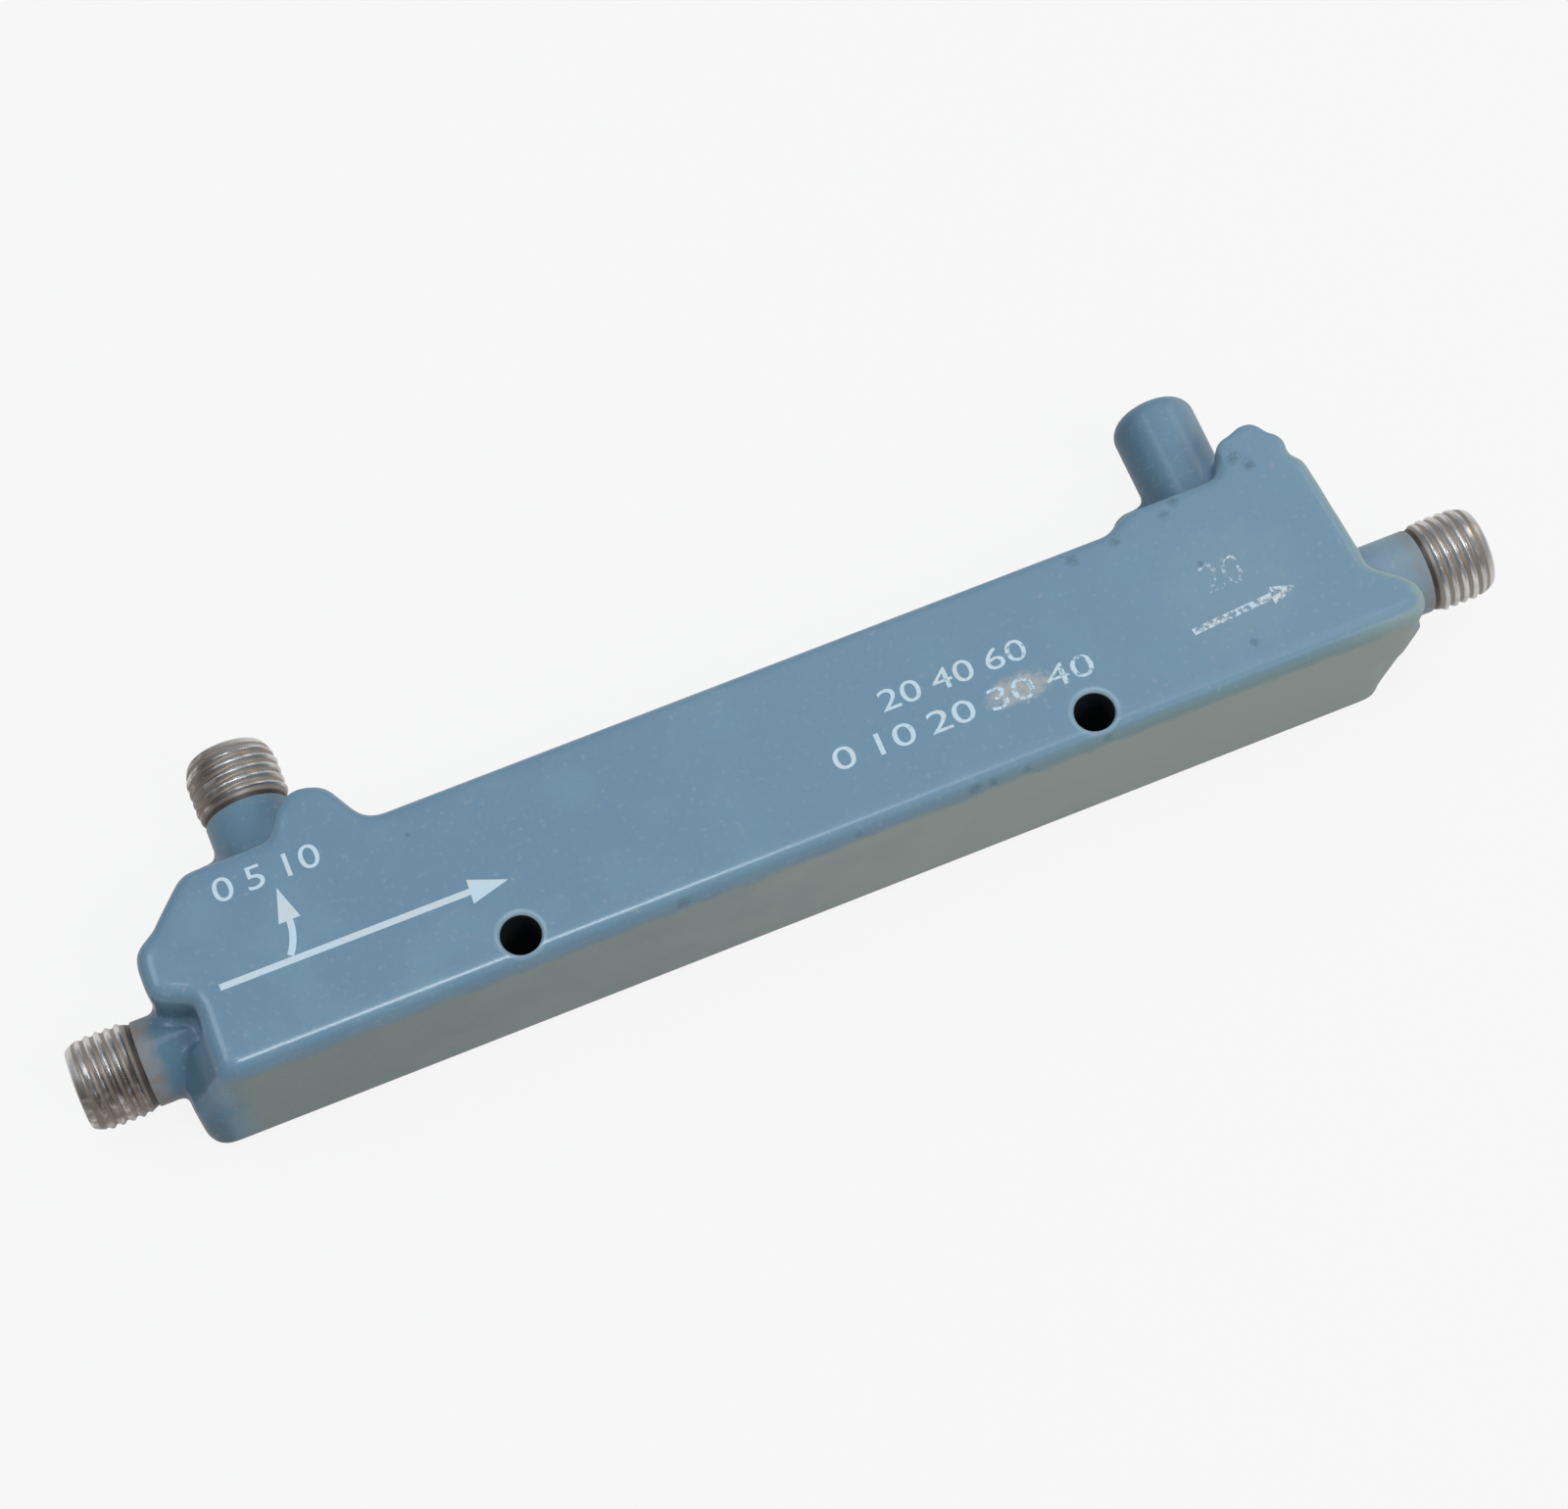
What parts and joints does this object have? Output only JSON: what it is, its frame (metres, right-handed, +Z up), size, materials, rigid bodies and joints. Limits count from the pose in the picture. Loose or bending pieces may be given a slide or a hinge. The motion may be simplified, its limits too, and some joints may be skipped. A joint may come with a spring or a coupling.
{
  "type": "directional coupler",
  "caption": "Bar-shaped stripline directional coupler with threaded coaxial jacks at both ends and one side, a closed termination stub and two mounting holes.",
  "frame": {"origin": "on the underside, below the axis of the through line and midway between the two end jacks", "axes": "+X along the through line towards the output jack, +Y towards the coupled jack and the stub, +Z up through the printed face"},
  "size_m": [0.101, 0.024, 0.0127],
  "materials": {
    "housing_paint": "thick glossy light steel-blue paint over aluminium, specked and slightly chipped",
    "stub_paint": "the same paint over a steel stub",
    "jack_steel": "bare turned stainless steel, worn and stained",
    "insulator": "off-white fluoropolymer",
    "contact": "gold plate over copper alloy",
    "board": "glass-filled fluoropolymer board",
    "film": "thin fluoropolymer sheet",
    "strip": "bare etched copper",
    "load": "dark resistive film on a ceramic rod",
    "screw_steel": "plain stainless steel"
  },
  "bodies": {
    "root": {"upper_housing": "housing_paint", "lower_housing": "housing_paint", "termination_shell": "stub_paint", "input_shell": "jack_steel", "output_shell": "jack_steel", "coupled_shell": "jack_steel", "input_insulator": "insulator", "output_insulator": "insulator", "coupled_insulator": "insulator", "termination_bead": "insulator", "input_contact": "contact", "output_contact": "contact", "coupled_contact": "contact", "termination_contact": "contact", "upper_board": "board", "lower_board": "board", "coupling_film": "film", "main_strip": "strip", "coupled_strip": "strip", "load_resistor": "load", "assembly_screws": "screw_steel"}
  },
  "joints": []
}
